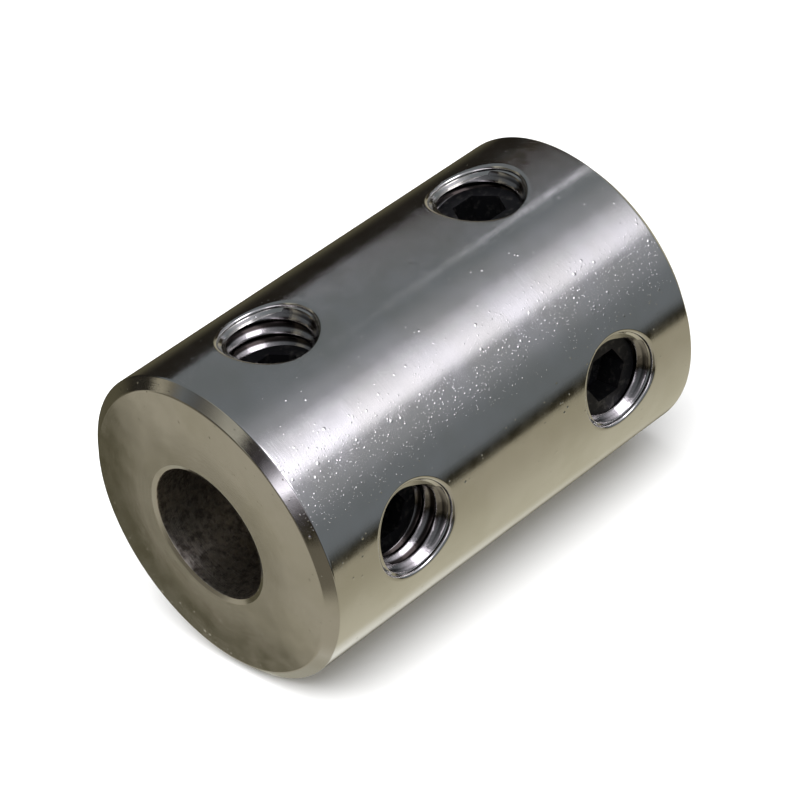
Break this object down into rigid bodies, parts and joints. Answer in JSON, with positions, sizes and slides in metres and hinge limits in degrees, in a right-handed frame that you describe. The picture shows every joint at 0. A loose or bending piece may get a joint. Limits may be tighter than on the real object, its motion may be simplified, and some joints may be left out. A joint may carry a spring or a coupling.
{
  "type": "rigid shaft coupling",
  "caption": "Rigid sleeve coupling, nickel plated, with a stepped bore for a 6 mm and an 8 mm shaft, clamped by M4 set screws.",
  "frame": {"origin": "centre of the sleeve, on the bore's axis, midway between the two ends", "axes": "+X along the bore towards the 8 mm end, -Y out of the front row of screws, +Z out of the top row of screws"},
  "size_m": [0.022, 0.014, 0.014],
  "materials": {
    "nickel_plate": "bright nickel plate on turned steel",
    "black_oxide": "black oxide on alloy steel"
  },
  "bodies": {
    "coupling_sleeve": {"coupling_sleeve": "nickel_plate"},
    "set_screw_6mm_front": {"set_screw_6mm_front": "black_oxide"},
    "set_screw_6mm_top": {"set_screw_6mm_top": "black_oxide"},
    "set_screw_8mm_front": {"set_screw_8mm_front": "black_oxide"},
    "set_screw_8mm_top": {"set_screw_8mm_top": "black_oxide"}
  },
  "joints": [
    {"name": "drive_6mm_front", "type": "slide", "parent": "coupling_sleeve", "child": "set_screw_6mm_front", "axis": [0, -1, 0], "range_m": [-0.0007, 0.0028]},
    {"name": "drive_6mm_top", "type": "slide", "parent": "coupling_sleeve", "child": "set_screw_6mm_top", "axis": [0, 0, 1], "range_m": [-0.0007, 0.0028]},
    {"name": "drive_8mm_front", "type": "slide", "parent": "coupling_sleeve", "child": "set_screw_8mm_front", "axis": [0, -1, 0], "range_m": [-0.0007, 0.0021]},
    {"name": "drive_8mm_top", "type": "slide", "parent": "coupling_sleeve", "child": "set_screw_8mm_top", "axis": [0, 0, 1], "range_m": [-0.0007, 0.0021]}
  ]
}
